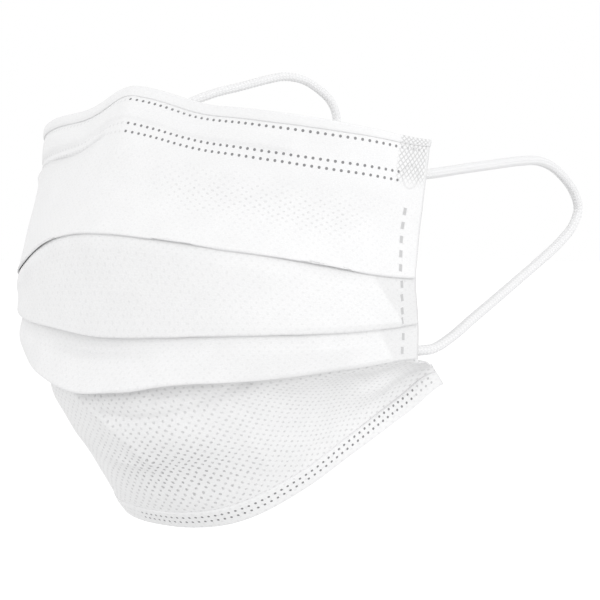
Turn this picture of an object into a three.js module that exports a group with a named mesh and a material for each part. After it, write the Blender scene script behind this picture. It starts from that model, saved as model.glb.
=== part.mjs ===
// Surgical face mask: a laminated non-woven sheet with three downward pleats, bound along its upper and
// lower edges, with a bendable nose wire in the upper binding and a round elastic loop for each ear.
// Millimetres. +Z is up, -Y is the way that the wearer looks, +X is the wearer's left.
// The origin is the crest of the nose bridge, at the middle of the upper edge.

import * as THREE from "three";

// Worn shape of the sheet
const SIDE_HALF_SPAN = 61; // middle plane to a side edge
const SETBACK = 39.4; // nose bridge back to the upper corners
const CENTRE_HEIGHT = 110.4; // nose bridge down to the chin edge, at the middle
const SIDE_HEIGHT = 75; // nose bridge down to the lower corners
const RIDGE_HALF_WIDTH = 12.6; // of the pinch that the wire keeps over the nose
const RIDGE_RISE = 5.2;
const RIDGE_PUSH = 1.4;
const CHEEK_HOLLOW = 1.2; // dish of the upper panel above the first pleat
const CHIN_BULGE = 2.5; // crown of the lower panel

// Sheet and pleats
const SHEET = 1.0; // wall of the three-ply laminate
const PLEAT_GAP_SIDE = 0.4; // between layers at the side weld
const PLEAT_GAP_OPEN = 1.9; // between layers where the pleats stand open
const RETURN_OPEN = 3.6; // hidden depth of a pleat at the middle
const KNEE_DROP = 1.3; // an inner layer stays back this far below the tip that covers it

// Bindings and nose wire
const BINDING = 1.0; // wall of the folded ply
const CLEARANCE = 0.3; // between pieces that lie on each other
const UPPER_FRONT_FLANGE = 3.2;
const UPPER_BACK_FLANGE = 14;
const LOWER_FLANGE = 5.5;
const HEM_PANEL_DEPTH = 15.5; // flat strip of the upper panel that the binding covers
const CHIN_HEM_DEPTH = 7; // flat strip of the lower panel that the binding covers
const WIRE_THICKNESS = 0.9;
const WIRE_WIDTH = 4;
const WIRE_LENGTH = 100;
const WIRE_DROP = 8.2; // upper edge down to the middle of the wire

// Ear loops
const CORD_DIAMETER = 2.5;
const CORD_SIDES = 8;
const CORD_STEP = 2; // length of one step along the cord, in diameters
const TAB_LENGTH = 7.5;
const TAB_HEIGHT = 5;
const TAB_THICKNESS = 2;
const TAB_CORNER = 1.5;
const TAB_INSET = 1.5; // side edge in to the tab
const UPPER_TAB_DROP = 8.5; // upper edge down to the middle of the tab
const LOWER_TAB_SHARE = 0.5; // of the way down the third pleat's inner layer
const TAB_CLEARANCE = 0.9; // a flat tab on a curved face

const COLUMNS = 48; // strips across the width
const HEM_STEP = 0.004; // share of the width over which a direction is taken

// The five lines that run from side to side. span is a share of SIDE_HALF_SPAN, the two backs of
// SETBACK, centreDrop of CENTRE_HEIGHT and sideDrop of SIDE_HEIGHT. squareness is the exponent of the
// plan curve, 2 for an ellipse, and fall the exponent of the height curve.
const LEVELS = {
  upper_edge: {
    span: 1, centreBack: 0.036, sideBack: 1, centreDrop: 0.047, sideDrop: 0.183,
    squareness: 2.6, fall: 1.42, ridge: 1,
  },
  pleat_1: {
    span: 1.01, centreBack: -0.42, sideBack: 0.84, centreDrop: 0.335, sideDrop: 0.63,
    squareness: 1.93, fall: 1.73, ridge: 0,
  },
  pleat_2: {
    span: 0.985, centreBack: -0.315, sideBack: 0.915, centreDrop: 0.556, sideDrop: 0.777,
    squareness: 2.39, fall: 0.93, ridge: 0,
  },
  pleat_3: {
    span: 0.985, centreBack: -0.447, sideBack: 0.915, centreDrop: 0.678, sideDrop: 0.895,
    squareness: 1.78, fall: 1.57, ridge: 0,
  },
  chin_edge: {
    span: 0.69, centreBack: 0.267, sideBack: 1.69, centreDrop: 1, sideDrop: 1,
    squareness: 2.27, fall: 1.22, ridge: 0,
  },
};

// Each pleat: the line of its tip, and the depth of its hidden return at the side weld.
const PLEATS = [
  { tip: "pleat_1", returnSide: 9 },
  { tip: "pleat_2", returnSide: 7.5 },
  { tip: "pleat_3", returnSide: 6.2 },
];
const PLEAT_ROWS = 5; // rows of the sheet at one pleat

// Rows between the lines: where they lie, as a share of the way down, and how far they stand out.
const UPPER_ROWS = [{ share: 0.66, out: -CHEEK_HOLLOW }];
const CHIN_ROWS = [
  { share: 0.33, out: CHIN_BULGE },
  { share: 0.62, out: CHIN_BULGE * 0.9 },
];

// Routes of the two elastic cords, from the upper tab round the ear to the lower tab. The left one hangs
// level and the right one lifts, as limp cords do.
const LEFT_CORD = [
  [56.6, 37.1, -21.9], [56.5, 42.5, -22.2], [56.0, 49.0, -21.7], [54.4, 59.0, -20.7], [52.2, 74.0, -19.3],
  [49.9, 89.6, -17.9], [48.3, 99.8, -17.6], [47.3, 107.0, -18.9], [46.2, 114.3, -21.9], [45.3, 119.8, -25.5],
  [44.9, 122.4, -29.9], [45.2, 119.8, -34.4], [46.4, 112.5, -38.8], [47.9, 102.7, -43.2], [49.5, 91.9, -47.6],
  [51.2, 80.8, -52.1], [53.3, 66.6, -57.8], [54.9, 54.5, -62.8], [55.3, 47.5, -65.0], [54.9, 42.0, -65.3],
  [54.0, 36.4, -65.0],
];
const RIGHT_CORD = [
  [-56.6, 37.1, -21.9], [-56.4, 42.0, -21.4], [-55.2, 49.5, -17.5], [-53.4, 58.0, -8.8], [-51.3, 67.5, -0.5],
  [-49.6, 76.0, 2.9], [-47.8, 85.6, 5.3], [-46.0, 94.5, 7.6], [-44.7, 100.7, 8.8], [-43.3, 107.2, 8.2],
  [-42.2, 112.8, 5.7], [-41.2, 117.4, 2.0], [-40.8, 119.4, -2.6], [-41.1, 118.9, -8.0], [-42.4, 114.4, -14.5],
  [-44.7, 105.5, -23.5], [-47.4, 93.0, -34.5], [-50.0, 80.0, -45.5], [-52.4, 66.5, -55.5], [-54.4, 54.5, -62.3],
  [-55.2, 47.5, -64.8], [-54.9, 42.0, -65.3], [-54.0, 36.4, -65.0],
];

// A line across the mask, from the right side edge to the left one.
class LevelCurve extends THREE.Curve {
  constructor(level) {
    super();
    this.level = level;
    this.arcLengthDivisions = 600;
  }

  getPoint(t, target = new THREE.Vector3()) {
    const { span, centreBack, sideBack, centreDrop, sideDrop, squareness, fall, ridge } = this.level;
    const angle = (t - 0.5) * Math.PI;
    const sine = Math.abs(Math.sin(angle));
    const cosine = Math.max(0, Math.cos(angle));
    const x = Math.sign(angle) * SIDE_HALF_SPAN * span * sine ** (2 / squareness);
    const towardsCentre = cosine ** (2 / squareness);
    const y = SETBACK * (sideBack + (centreBack - sideBack) * towardsCentre);
    const centreZ = -CENTRE_HEIGHT * centreDrop;
    const sideZ = -SIDE_HEIGHT * sideDrop;
    const z = sideZ + (centreZ - sideZ) * cosine ** fall;
    const pinch = ridge * Math.exp(-((x / RIDGE_HALF_WIDTH) ** 2));
    return target.set(x, y - RIDGE_PUSH * pinch, z + RIDGE_RISE * pinch);
  }
}

const curves = Object.fromEntries(
  Object.entries(LEVELS).map(([name, level]) => [name, new LevelCurve(level)]),
);

// The direction along a line, and the level direction square to it that points away from the face.
function alongAt(name, u) {
  const start = curves[name].getPointAt(Math.max(0, u - HEM_STEP));
  return curves[name].getPointAt(Math.min(1, u + HEM_STEP)).sub(start).normalize();
}

function outwardAt(name, u) {
  const along = alongAt(name, u);
  return new THREE.Vector3(along.y, -along.x, 0).normalize();
}

// The sheet's normal, away from the face, between an upper and a lower point of one column.
function normalBetween(upper, lower, along) {
  return new THREE.Vector3().subVectors(lower, upper).cross(along).normalize();
}

// How far from the side edge a column lies: 0 at the edge, 1 at the middle.
function openness(u) {
  const fromMiddle = Math.abs(2 * u - 1);
  return 1 - fromMiddle ** 3;
}

function layerPitch(u) {
  return SHEET + THREE.MathUtils.lerp(PLEAT_GAP_SIDE, PLEAT_GAP_OPEN, openness(u));
}

function moved(point, direction, distance) {
  return point.clone().addScaledVector(direction, distance);
}

// The straight strip along the upper edge: its edge point, its lower point and its normal. The binding
// folds over the edge, so the sheet stops short of the mask's outline by the binding's wall.
function upperHem(u) {
  const outline = curves.upper_edge.getPointAt(u);
  const into = curves.pleat_1.getPointAt(u).sub(outline).normalize();
  const edge = moved(outline, into, BINDING + CLEARANCE);
  const inner = moved(edge, into, HEM_PANEL_DEPTH);
  const outward = normalBetween(edge, inner, alongAt("upper_edge", u));
  return { edge, inner, outward };
}

// The two points of a pleat's tip, the two of its hidden inner fold, and the knee below the tip.
function pleatRows(pleat, above, u) {
  const tip = curves[pleat.tip].getPointAt(u);
  const inward = outwardAt(pleat.tip, u).negate();
  const up = above.clone().sub(tip).normalize();
  const depth = THREE.MathUtils.lerp(pleat.returnSide, RETURN_OPEN, openness(u));
  const pitch = layerPitch(u);
  return [
    tip,
    moved(tip, inward, pitch),
    moved(moved(tip, inward, pitch), up, depth),
    moved(moved(tip, inward, 2 * pitch), up, depth),
    moved(moved(tip, inward, 2 * pitch), up, -KNEE_DROP),
  ];
}

// One column of the sheet, from the upper edge down through the pleats to the chin edge.
function panelColumn(u) {
  const hem = upperHem(u);
  const firstTip = curves.pleat_1.getPointAt(u);
  const rows = [hem.edge, hem.inner];
  for (const { share, out } of UPPER_ROWS) {
    rows.push(moved(hem.edge.clone().lerp(firstTip, share), hem.outward, out));
  }
  for (const pleat of PLEATS) {
    rows.push(...pleatRows(pleat, rows.at(-1), u));
  }
  const chin = curves.chin_edge.getPointAt(u);
  const knee = rows.at(-1);
  const outward = normalBetween(knee, chin, alongAt("chin_edge", u));
  for (const { share, out } of CHIN_ROWS) {
    rows.push(moved(knee.clone().lerp(chin, share), outward, out));
  }
  const into = rows.at(-1).clone().sub(chin).normalize();
  const edge = moved(chin, into, BINDING + CLEARANCE);
  rows.push(moved(edge, into, CHIN_HEM_DEPTH), edge);
  return rows;
}

const columnNumbers = Array.from({ length: COLUMNS + 1 }, (_, i) => i);
const panelColumns = columnNumbers.map((i) => panelColumn(i / COLUMNS));

// The shift from the middle of a wall to its outer skin at each row of a column, mitred at the corners.
function mitres(columns, i, j) {
  const column = columns[i];
  const before = columns[Math.max(0, i - 1)];
  const after = columns[Math.min(columns.length - 1, i + 1)];
  const along = after[j].clone().sub(before[j]);
  const normals = [];
  if (j > 0) {
    normals.push(normalBetween(column[j - 1], column[j], along));
  }
  if (j < column.length - 1) {
    normals.push(normalBetween(column[j], column[j + 1], along));
  }
  if (normals.length === 1) {
    return normals[0];
  }
  const [first, second] = normals;
  return first.clone().add(second).divideScalar(1 + first.dot(second));
}

// The strip of the panel that a binding covers, at one column: a point at a given depth from the edge and
// a given distance out from the middle of the wall. The strip lies between two rows of the panel.
function hemPoint(i, edgeRow, innerRow, depth, out) {
  const edge = panelColumns[i].at(edgeRow);
  const inner = panelColumns[i].at(innerRow);
  const rowCount = panelColumns[i].length;
  const share = depth / edge.distanceTo(inner);
  const edgeShift = mitres(panelColumns, i, (edgeRow + rowCount) % rowCount);
  const innerShift = mitres(panelColumns, i, (innerRow + rowCount) % rowCount);
  const shift = edgeShift.lerp(innerShift, THREE.MathUtils.clamp(share, 0, 1));
  return edge.clone().lerp(inner, share).addScaledVector(shift, out);
}

// A folded ply round the upper edge. Its back flange leaves room for the wire.
function upperBindingColumn(i) {
  const front = SHEET / 2 + CLEARANCE + BINDING / 2;
  const back = front + WIRE_THICKNESS + CLEARANCE;
  const crest = -SHEET / 2 - CLEARANCE - BINDING / 2;
  return [
    hemPoint(i, 0, 1, UPPER_FRONT_FLANGE, front),
    hemPoint(i, 0, 1, crest, front),
    hemPoint(i, 0, 1, crest, -back),
    hemPoint(i, 0, 1, UPPER_BACK_FLANGE, -back),
  ];
}

function noseWireColumn(i) {
  const middle = -(SHEET + WIRE_THICKNESS) / 2 - CLEARANCE;
  return [
    hemPoint(i, 0, 1, WIRE_DROP - WIRE_WIDTH / 2, middle),
    hemPoint(i, 0, 1, WIRE_DROP + WIRE_WIDTH / 2, middle),
  ];
}

function lowerBindingColumn(i) {
  const offset = SHEET / 2 + CLEARANCE + BINDING / 2;
  const crest = -offset;
  return [
    hemPoint(i, -1, -2, LOWER_FLANGE, offset),
    hemPoint(i, -1, -2, crest, offset),
    hemPoint(i, -1, -2, crest, -offset),
    hemPoint(i, -1, -2, LOWER_FLANGE, -offset),
  ];
}

// A closed solid of even wall round a grid of columns.
function sheetGeometry(columns, thickness) {
  const rowCount = columns[0].length;
  const positions = [];
  columns.forEach((column, i) => {
    column.forEach((point, j) => {
      const shift = mitres(columns, i, j);
      positions.push(...moved(point, shift, thickness / 2));
      positions.push(...moved(point, shift, -thickness / 2));
    });
  });
  const outer = (i, j) => 2 * (i * rowCount + j);
  const inner = (i, j) => outer(i, j) + 1;
  const index = [];
  const quad = (a, b, c, d) => index.push(a, b, d, b, c, d);
  const lastColumn = columns.length - 1;
  const lastRow = rowCount - 1;
  for (let i = 0; i < lastColumn; i += 1) {
    for (let j = 0; j < lastRow; j += 1) {
      quad(outer(i, j), outer(i, j + 1), outer(i + 1, j + 1), outer(i + 1, j));
      quad(inner(i, j), inner(i + 1, j), inner(i + 1, j + 1), inner(i, j + 1));
    }
    quad(outer(i, 0), outer(i + 1, 0), inner(i + 1, 0), inner(i, 0));
    quad(outer(i, lastRow), inner(i, lastRow), inner(i + 1, lastRow), outer(i + 1, lastRow));
  }
  for (let j = 0; j < lastRow; j += 1) {
    quad(outer(0, j), inner(0, j), inner(0, j + 1), outer(0, j + 1));
    quad(outer(lastColumn, j), outer(lastColumn, j + 1), inner(lastColumn, j + 1), inner(lastColumn, j));
  }
  const geometry = new THREE.BufferGeometry();
  geometry.setAttribute("position", new THREE.Float32BufferAttribute(positions, 3));
  geometry.setIndex(index);
  geometry.computeVertexNormals();
  return geometry;
}

// The shares of the width at which a cord's flattened end has its middle.
function tabShare(side, levelName) {
  const inset = (TAB_INSET + TAB_LENGTH / 2) / curves[levelName].getLength();
  return side > 0 ? 1 - inset : inset;
}

// Where a cord's flattened end lies on the inner face: its middle and its frame, at one side edge. The
// upper one lies on the binding, and the lower one on the innermost layer of the third pleat.
function tabFrame(side, isUpper) {
  const levelName = isUpper ? "upper_edge" : "pleat_3";
  const u = tabShare(side, levelName);
  const rearward = alongAt(levelName, u).multiplyScalar(side);
  if (isUpper) {
    const { edge, inner, outward } = upperHem(u);
    const cover = SHEET / 2 + WIRE_THICKNESS + BINDING + 2 * CLEARANCE + TAB_CLEARANCE;
    const middle = edge.lerp(inner, UPPER_TAB_DROP / HEM_PANEL_DEPTH);
    return { middle: moved(middle, outward, -cover - TAB_THICKNESS / 2), rearward, outward };
  }
  const pleatEnd = 2 + UPPER_ROWS.length + PLEATS.length * PLEAT_ROWS;
  const [fold, knee] = panelColumn(u).slice(pleatEnd - 2, pleatEnd);
  const outward = normalBetween(fold, knee, alongAt(levelName, u));
  const middle = fold.lerp(knee, LOWER_TAB_SHARE);
  const cover = SHEET / 2 + TAB_CLEARANCE + TAB_THICKNESS / 2;
  return { middle: moved(middle, outward, -cover), rearward, outward };
}

function tabGeometry() {
  const x = TAB_LENGTH / 2 - TAB_CORNER;
  const y = TAB_HEIGHT / 2 - TAB_CORNER;
  const shape = new THREE.Shape();
  shape.absarc(x, y, TAB_CORNER, 0, Math.PI / 2, false);
  shape.absarc(-x, y, TAB_CORNER, Math.PI / 2, Math.PI, false);
  shape.absarc(-x, -y, TAB_CORNER, Math.PI, Math.PI * 1.5, false);
  shape.absarc(x, -y, TAB_CORNER, Math.PI * 1.5, Math.PI * 2, false);
  const settings = { depth: TAB_THICKNESS, bevelEnabled: false, curveSegments: 4 };
  return new THREE.ExtrudeGeometry(shape, settings).translate(0, 0, -TAB_THICKNESS / 2);
}

function weldTab(name, side, isUpper) {
  const { middle, rearward, outward } = tabFrame(side, isUpper);
  const upward = outward.clone().cross(rearward).normalize();
  const squareOutward = rearward.clone().cross(upward).normalize();
  const mesh = new THREE.Mesh(tabGeometry(), cordMaterial);
  mesh.name = name;
  mesh.matrix.makeBasis(rearward, upward, squareOutward).setPosition(middle);
  mesh.matrix.decompose(mesh.position, mesh.quaternion, mesh.scale);
  return mesh;
}

function cordGeometry(route) {
  const path = new THREE.CatmullRomCurve3(route.map((point) => new THREE.Vector3(...point)), false, "centripetal");
  const section = new THREE.Shape();
  for (let i = 0; i < CORD_SIDES; i += 1) {
    const angle = (2 * Math.PI * i) / CORD_SIDES;
    section[i ? "lineTo" : "moveTo"](
      (CORD_DIAMETER / 2) * Math.cos(angle),
      (CORD_DIAMETER / 2) * Math.sin(angle),
    );
  }
  const steps = Math.round(path.getLength() / (CORD_STEP * CORD_DIAMETER));
  return new THREE.ExtrudeGeometry(section, { steps, bevelEnabled: false, extrudePath: path });
}

const sheetMaterial = new THREE.MeshStandardMaterial({ color: 0xf6f7f8, roughness: 0.9, metalness: 0 });
const bindingMaterial = new THREE.MeshStandardMaterial({ color: 0xf3f4f6, roughness: 0.85, metalness: 0 });
const wireMaterial = new THREE.MeshStandardMaterial({ color: 0xe9eaec, roughness: 0.55, metalness: 0 });
const cordMaterial = new THREE.MeshStandardMaterial({ color: 0xf0f1f3, roughness: 0.8, metalness: 0 });

function pieceMesh(name, geometry, material) {
  const mesh = new THREE.Mesh(geometry, material);
  mesh.name = name;
  return mesh;
}

// The wire covers the middle columns, to the nearest whole number of them.
function noseWireColumns() {
  const share = WIRE_LENGTH / curves.upper_edge.getLength() / 2;
  const half = Math.round(COLUMNS * share);
  const middle = COLUMNS / 2;
  return columnNumbers.slice(middle - half, middle + half + 1).map(noseWireColumn);
}

const mask = new THREE.Group();
mask.add(
  pieceMesh("pleated_panel", sheetGeometry(panelColumns, SHEET), sheetMaterial),
  pieceMesh("upper_binding", sheetGeometry(columnNumbers.map(upperBindingColumn), BINDING), bindingMaterial),
  pieceMesh("nose_wire", sheetGeometry(noseWireColumns(), WIRE_THICKNESS), wireMaterial),
  pieceMesh("lower_binding", sheetGeometry(columnNumbers.map(lowerBindingColumn), BINDING), bindingMaterial),
  pieceMesh("ear_loop_left", cordGeometry(LEFT_CORD), cordMaterial),
  pieceMesh("ear_loop_right", cordGeometry(RIGHT_CORD), cordMaterial),
);
for (const [sideName, side] of [["left", 1], ["right", -1]]) {
  mask.add(weldTab(`weld_tab_upper_${sideName}`, side, true));
  mask.add(weldTab(`weld_tab_lower_${sideName}`, side, false));
}

export default mask;
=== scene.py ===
import math

import bpy
import numpy as np
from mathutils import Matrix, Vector


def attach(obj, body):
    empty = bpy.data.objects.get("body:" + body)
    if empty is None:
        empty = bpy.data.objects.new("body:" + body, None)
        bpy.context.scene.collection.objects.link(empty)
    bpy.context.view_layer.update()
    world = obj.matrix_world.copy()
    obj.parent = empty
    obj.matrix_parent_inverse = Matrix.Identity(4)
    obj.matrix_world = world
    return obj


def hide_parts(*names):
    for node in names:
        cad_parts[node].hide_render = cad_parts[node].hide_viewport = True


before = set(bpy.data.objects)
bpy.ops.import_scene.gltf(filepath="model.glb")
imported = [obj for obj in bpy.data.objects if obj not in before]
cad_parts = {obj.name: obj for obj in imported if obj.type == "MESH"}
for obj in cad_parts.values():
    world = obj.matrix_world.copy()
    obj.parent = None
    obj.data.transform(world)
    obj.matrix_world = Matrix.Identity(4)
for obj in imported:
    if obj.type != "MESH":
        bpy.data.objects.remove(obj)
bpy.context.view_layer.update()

MM = 0.001
RNG = np.random.default_rng(20)

# Worn shape, as in the CAD part
SIDE_HALF_SPAN = 61.0
SETBACK = 39.4
CENTRE_HEIGHT = 110.4
SIDE_HEIGHT = 75.0
RIDGE_HALF_WIDTH = 12.6
RIDGE_RISE = 5.2
RIDGE_PUSH = 1.4
CHEEK_HOLLOW = 1.2
CHIN_BULGE = 2.5
RETURN_OPEN = 3.6  # depth of a pleat's hidden layer, in the middle of the mask
KNEE_DROP = 1.3
HEM_PANEL_DEPTH = 15.5
CHIN_HEM_DEPTH = 7.0
HEM_PLY_DEPTH = 5.5  # of the ply that wraps the lower edge
WIRE_WIDTH = 4.0
WIRE_LENGTH = 100.0
WIRE_DROP = 6.6
TOP_ROW = (3.6, 3.4, 3.3, 2.75, 2.3)  # depth of the uppermost weld points, from the middle to the side
WIRE_ROWS = ((10.2, 9.5, 9.5, 8.8, 8.2), (12.4, 11.5, 11.4, 10.8, 10.3))  # and of the two rows below the wire
CHIN_POINT_ROWS = ((2.1, 2.0, 1.85), (3.8, 3.6, 3.35))  # and of the two rows up from the chin edge
TOP_INSET, WIRE_INSET, CHIN_INSET = 1.2, 8.6, 2.0  # where those rows end, from the side edge
FLANGE_ABOVE = 1.1  # from the uppermost row up to the edge of the folded ply

# Real walls of the cloth
SHEET = 0.42
PLY = 0.28
LAY = 0.05  # air between plies that lie on each other
PITCH_SIDE = 0.52  # from layer to layer at the side weld
PITCH_TIP = 0.54  # a folded tip to the layer behind it
PITCH_OPEN = {"pleat_1": 0.49, "pleat_2": 0.65, "pleat_3": 4.4}  # that layer to the next, where one is open

SIDE_STEP = 1.2  # a panel's upper end stands this far back past the panel over it, at the side edge
WIRE_RELIEF = 0.45  # by which the wire lifts the cloth
NOSE_CREASE = 1.9  # height of the fold that the bent wire puts down the nose
PUFF = 0.7  # of the panels beside the flat side strips
CORNER_FLARE = 2.4  # the free lower corners curl up by this
HEM_TURN = 0.8  # share by which the chin hem turns to lie along the jaw, near the corners
COLUMNS = 180
CLOTH_WIDTH = 175.0  # flat width of the cloth

# The five lines across the mask. back and drop give the middle and the side, as shares of SETBACK and of the
# two heights. squareness and fall bend the line as seen from above and from the front.
LEVELS = {
    "upper_edge": dict(span=1, back=(0.036, 1), drop=(0.047, 0.183), squareness=2.6, fall=1.42, ridge=1),
    "pleat_1": dict(span=1.01, back=(-0.42, 0.84), drop=(0.335, 0.63), squareness=1.93, fall=1.73),
    "pleat_2": dict(span=0.985, back=(-0.315, 0.915), drop=(0.556, 0.777), squareness=2.39, fall=0.93),
    "pleat_3": dict(span=0.985, back=(-0.447, 0.915), drop=(0.678, 0.895), squareness=1.78, fall=1.57),
    "chin_edge": dict(span=0.69, back=(0.267, 1.69), drop=(1, 1), squareness=2.27, fall=1.22),
}
RETURN_SIDE = {"pleat_1": 9.0, "pleat_2": 7.5, "pleat_3": 6.2}  # depth of a hidden layer, at the sides

# Where the worn lines leave the smooth ones: share of the width from the wearer's right, then how far the
# line moves towards the camera's right, and up
TRIM = {
    "upper_edge": [
        (0.00, 0.8, 0.0), (0.18, 1.2, 0.0), (0.26, 0.6, 0.0), (0.36, 0, -0.4), (0.44, 0, -0.3),
        (0.48, 0, -0.7), (0.50, 0, -1.2), (0.54, 0, -0.4), (0.58, 0, 0.5), (0.60, 0, 0.3),
        (0.65, 0, -0.4), (0.74, 0, -0.6), (0.83, 0, -0.4), (0.90, 0, 0.0), (1.00, 0, -0.5),
    ],
    "pleat_1": [
        (0.00, 0.0, -3.4), (0.13, -0.2, -4.6), (0.22, -0.6, -4.8), (0.27, 0, -4.2), (0.31, 0, -3.6),
        (0.36, 0, -1.9), (0.39, 0, -0.9), (0.43, 0, 0.0), (0.47, 0, 0.6), (0.52, 0, 0.7), (0.57, 0, 0.5),
        (0.61, 0, 0.1), (0.70, 0, 0.0), (0.78, 0, 0.4), (0.90, 0, 0.1), (0.97, 0, 0.3), (1.00, 0, 0.1),
    ],
    "pleat_2": [
        (0.00, 0.0, 1.0), (0.13, 0.3, 2.8), (0.22, 0.1, 3.2), (0.30, 0.1, 2.4), (0.39, 0, 1.2),
        (0.47, 0, -0.4), (0.52, 0, -0.4), (0.60, 0, 0.0), (0.73, 0, 0.5), (0.81, 0, 0.0), (1.00, 0, 0.0),
    ],
    "pleat_3": [
        (0.00, 0.0, 0.0), (0.13, 0.0, 2.0), (0.24, 0.2, 3.0), (0.30, 0.3, 2.6), (0.38, 0, 1.6),
        (0.44, 0, 0.4), (0.48, 0, -0.5), (0.53, 0, 0.0), (0.58, 0, 0.5), (0.62, 0, 1.3), (0.68, 0, 1.2),
        (0.74, 0, 0.3), (0.82, 0, 0.0), (0.93, 0, 0.3), (0.97, 0, 0.6), (1.00, 0, 0.3),
    ],
    "chin_edge": [
        (0.00, 0, -0.3), (0.06, 0, -2.6), (0.12, 0, -2.3), (0.22, 0, -2.0), (0.34, 0, -2.4),
        (0.38, 0, -1.9), (0.42, 0, -0.2), (0.47, 0, 0.8), (0.53, 0, 0.6), (0.56, 0, 0.0), (0.59, 0, -0.8),
        (0.63, 0, -1.6), (0.67, 0, -1.7), (0.73, 0, -1.9), (0.79, 0, -1.9), (0.88, 0, -2.3),
        (0.94, 0, -2.6), (1.00, 0.6, 0.1),
    ],
}

LEFT_CORD = [
    (56.6, 37.1, -21.9), (56.5, 42.5, -22.2), (56.0, 49.0, -21.7), (54.4, 59.0, -20.7),
    (52.2, 74.0, -19.3), (49.9, 89.6, -17.9), (48.3, 99.8, -17.6), (47.3, 107.0, -18.9),
    (46.2, 114.3, -21.9), (45.3, 119.8, -25.5), (44.9, 122.4, -29.9), (45.2, 119.8, -34.4),
    (46.4, 112.5, -38.8), (47.9, 102.7, -43.2), (49.5, 91.9, -47.6), (51.2, 80.8, -52.1),
    (53.3, 66.6, -57.8), (54.9, 54.5, -62.8), (55.3, 47.5, -65.0), (54.9, 42.0, -65.3),
    (54.0, 36.4, -65.0),
]
RIGHT_CORD = [
    (-56.6, 37.1, -21.9), (-56.4, 42.0, -21.4), (-55.2, 49.5, -17.5), (-53.4, 58.0, -8.8),
    (-51.3, 67.5, -0.5), (-49.6, 76.0, 2.9), (-47.8, 85.6, 5.3), (-46.0, 94.5, 7.6), (-44.7, 100.7, 8.8),
    (-43.3, 107.2, 8.2), (-42.2, 112.8, 5.7), (-41.2, 117.4, 2.0), (-40.8, 119.4, -2.6),
    (-41.1, 118.9, -8.0), (-42.4, 114.4, -14.5), (-44.7, 105.5, -23.5), (-47.4, 93.0, -34.5),
    (-50.0, 80.0, -45.5), (-52.4, 66.5, -55.5), (-54.4, 54.5, -62.3), (-55.2, 47.5, -64.8),
    (-54.9, 42.0, -65.3), (-54.0, 36.4, -65.0),
]
CORD_DIAMETER = 2.5

# Camera: the photograph's direction and distance, aimed so that the mask lies in the frame as there
CAMERA_AZIMUTH = 44.0
CAMERA_ELEVATION = 1.35
CAMERA_DISTANCE = 600.0
CAMERA_TARGET = (0.0, 39.4, -49.7)
CAMERA_AIM = (13.489, -4.306)  # right and up of the target, in the plane through it
CAMERA_LENS = 138.6
CAMERA_TURN = math.radians(CAMERA_AZIMUTH)
CAMERA_RIGHT = np.array([math.cos(CAMERA_TURN), math.sin(CAMERA_TURN), 0])
UPWARD = np.array([0, 0, 1])


def unit(v):
    return v / np.maximum(np.linalg.norm(v, axis=-1, keepdims=True), 1e-9)


def smooth(a, b, x):
    t = np.clip((x - a) / (b - a), 0, 1)
    return t * t * (3 - 2 * t)


def make_camera():
    a, e = CAMERA_TURN, math.radians(CAMERA_ELEVATION)
    back = Vector((math.sin(a) * math.cos(e), -math.cos(a) * math.cos(e), math.sin(e)))
    right = Vector((math.cos(a), math.sin(a), 0))
    up = back.cross(right)
    target = Vector(CAMERA_TARGET)
    place = target + back * CAMERA_DISTANCE
    aim = target + right * CAMERA_AIM[0] + up * CAMERA_AIM[1]
    data = bpy.data.cameras.new("camera")
    data.lens = CAMERA_LENS
    data.sensor_width = 36
    data.clip_start, data.clip_end = 0.01, 50
    camera = bpy.data.objects.new("camera", data)
    bpy.context.scene.collection.objects.link(camera)
    camera.location = place * MM
    camera.rotation_euler = (aim - place).to_track_quat("-Z", "Y").to_euler()
    bpy.context.scene.camera = camera


make_camera()


# Node helpers
class Tree:
    def __init__(self, name, roughness, specular=0.25, sheen=0.0):
        self.material = bpy.data.materials.new(name)
        self.material.use_nodes = True
        self.nodes = self.material.node_tree.nodes
        self.links = self.material.node_tree.links
        self.shader = self.nodes["Principled BSDF"]
        self.shader.inputs["Roughness"].default_value = roughness
        self.shader.inputs["Specular IOR Level"].default_value = specular
        self.shader.inputs["Sheen Weight"].default_value = sheen

    def put(self, socket, value):
        if hasattr(value, "is_output"):
            self.links.new(value, socket)
        else:
            socket.default_value = value

    def math(self, operation, a, b=0.0, c=0.0, clamp=False):
        node = self.nodes.new("ShaderNodeMath")
        node.operation = operation
        node.use_clamp = clamp
        for socket, value in zip(node.inputs, (a, b, c)):
            self.put(socket, value)
        return node.outputs[0]

    def attribute(self, name):
        node = self.nodes.new("ShaderNodeAttribute")
        node.attribute_name = name
        return node.outputs["Vector"], node.outputs["Fac"]

    def axes(self, vector):
        node = self.nodes.new("ShaderNodeSeparateXYZ")
        self.links.new(vector, node.inputs[0])
        return node.outputs

    def scaled(self, vector, scale):
        node = self.nodes.new("ShaderNodeMapping")
        self.links.new(vector, node.inputs[0])
        node.inputs["Scale"].default_value = scale
        return node.outputs[0]

    def noise(self, vector, scale, detail=2.0, rough=0.5):
        node = self.nodes.new("ShaderNodeTexNoise")
        self.links.new(vector, node.inputs["Vector"])
        node.inputs["Scale"].default_value = scale
        node.inputs["Detail"].default_value = detail
        node.inputs["Roughness"].default_value = rough
        return node.outputs["Fac"]

    def mix(self, share, a, b):
        node = self.nodes.new("ShaderNodeMix")
        node.data_type = "RGBA"
        self.put(node.inputs[0], share)
        for socket, colour in ((node.inputs[6], a), (node.inputs[7], b)):
            self.put(socket, (*colour, 1) if isinstance(colour, tuple) else colour)
        return node.outputs[2]

    def bump(self, height, distance):
        node = self.nodes.new("ShaderNodeBump")
        node.inputs["Strength"].default_value = 1.0
        node.inputs["Distance"].default_value = distance
        self.links.new(height, node.inputs["Height"])
        self.links.new(node.outputs[0], self.shader.inputs["Normal"])


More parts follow.
